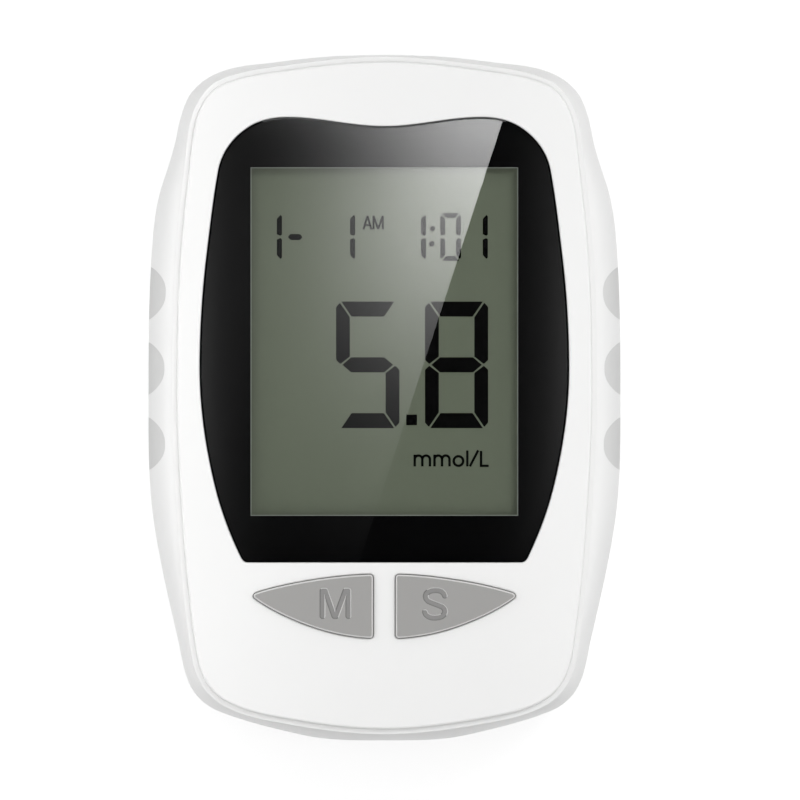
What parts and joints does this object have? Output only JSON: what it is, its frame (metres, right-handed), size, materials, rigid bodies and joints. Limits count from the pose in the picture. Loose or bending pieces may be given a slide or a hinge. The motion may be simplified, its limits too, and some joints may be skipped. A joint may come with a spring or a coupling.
{
  "type": "blood glucose meter",
  "caption": "Palm-sized blood glucose meter: white two-part case with grey side grips, large black-framed display, two fin-shaped keys, a strip port and a sliding battery door.",
  "frame": {"origin": "centre of the meter's footprint, on the plane that its four feet rest on", "axes": "+Y along the case from the keys towards the strip port, +Z out of the display, +X to the right as the display is read"},
  "size_m": [0.0584, 0.085, 0.0189],
  "materials": {
    "white_plastic": "fine moulded satin",
    "key_plastic": "satin",
    "grip_rubber": "soft-touch matt",
    "foot_rubber": "matt",
    "clear_lens": "polished clear acrylic",
    "black_print": "gloss behind the lens",
    "adhesive": "matt",
    "lcd_glass": "polished",
    "polariser_film": "polished film",
    "reflector_film": "satin film",
    "holder_plastic": "satin",
    "zebra_rubber": "matt",
    "circuit_board": "solder-mask satin",
    "chip_package": "matt moulding compound",
    "small_components": "ceramic satin",
    "can_steel": "plated",
    "buzzer_plastic": "matt",
    "connector_plastic": "satin",
    "contact_metal": "gold-plated",
    "switch_plastic": "matt",
    "plunger_plastic": "satin",
    "cell_steel": "satin stainless",
    "screw_steel": "zinc-plated"
  },
  "bodies": {
    "housing": {"rear_case": "white_plastic", "front_cover": "white_plastic", "coin_cell": "cell_steel", "battery_contact_positive": "contact_metal", "battery_contact_negative": "contact_metal", "rubber_feet": "foot_rubber", "left_grip_pads": "grip_rubber", "right_grip_pads": "grip_rubber", "case_screws": "screw_steel", "board_screws": "screw_steel", "main_board": "circuit_board", "processor_chip": "chip_package", "board_components": "small_components", "crystal": "can_steel", "buzzer": "buzzer_plastic", "strip_connector": "connector_plastic", "strip_contacts": "contact_metal", "memory_switch": "switch_plastic", "set_switch": "switch_plastic", "upper_zebra_strip": "zebra_rubber", "lower_zebra_strip": "zebra_rubber", "lcd_holder": "holder_plastic", "lcd_reflector": "reflector_film", "lcd_rear_glass": "lcd_glass", "lcd_front_glass": "lcd_glass", "lcd_front_polariser": "polariser_film", "lens_adhesive": "adhesive", "window_border": "black_print", "window_lens": "clear_lens"},
    "battery_door": {"battery_door": "white_plastic"},
    "memory_key": {"memory_key": "key_plastic", "memory_switch_plunger": "plunger_plastic"},
    "set_key": {"set_key": "key_plastic", "set_switch_plunger": "plunger_plastic"}
  },
  "joints": [
    {"name": "memory_key_press", "type": "slide", "parent": "housing", "child": "memory_key", "axis": [0, 0, -1], "range_m": [0, 0.0006], "stiffness_N_per_m": 1500, "springref_m": -0.0004},
    {"name": "set_key_press", "type": "slide", "parent": "housing", "child": "set_key", "axis": [0, 0, -1], "range_m": [0, 0.0006], "stiffness_N_per_m": 1500, "springref_m": -0.0004},
    {"name": "battery_door_slide", "type": "slide", "parent": "housing", "child": "battery_door", "axis": [0, -1, 0], "range_m": [0, 0.03]}
  ]
}
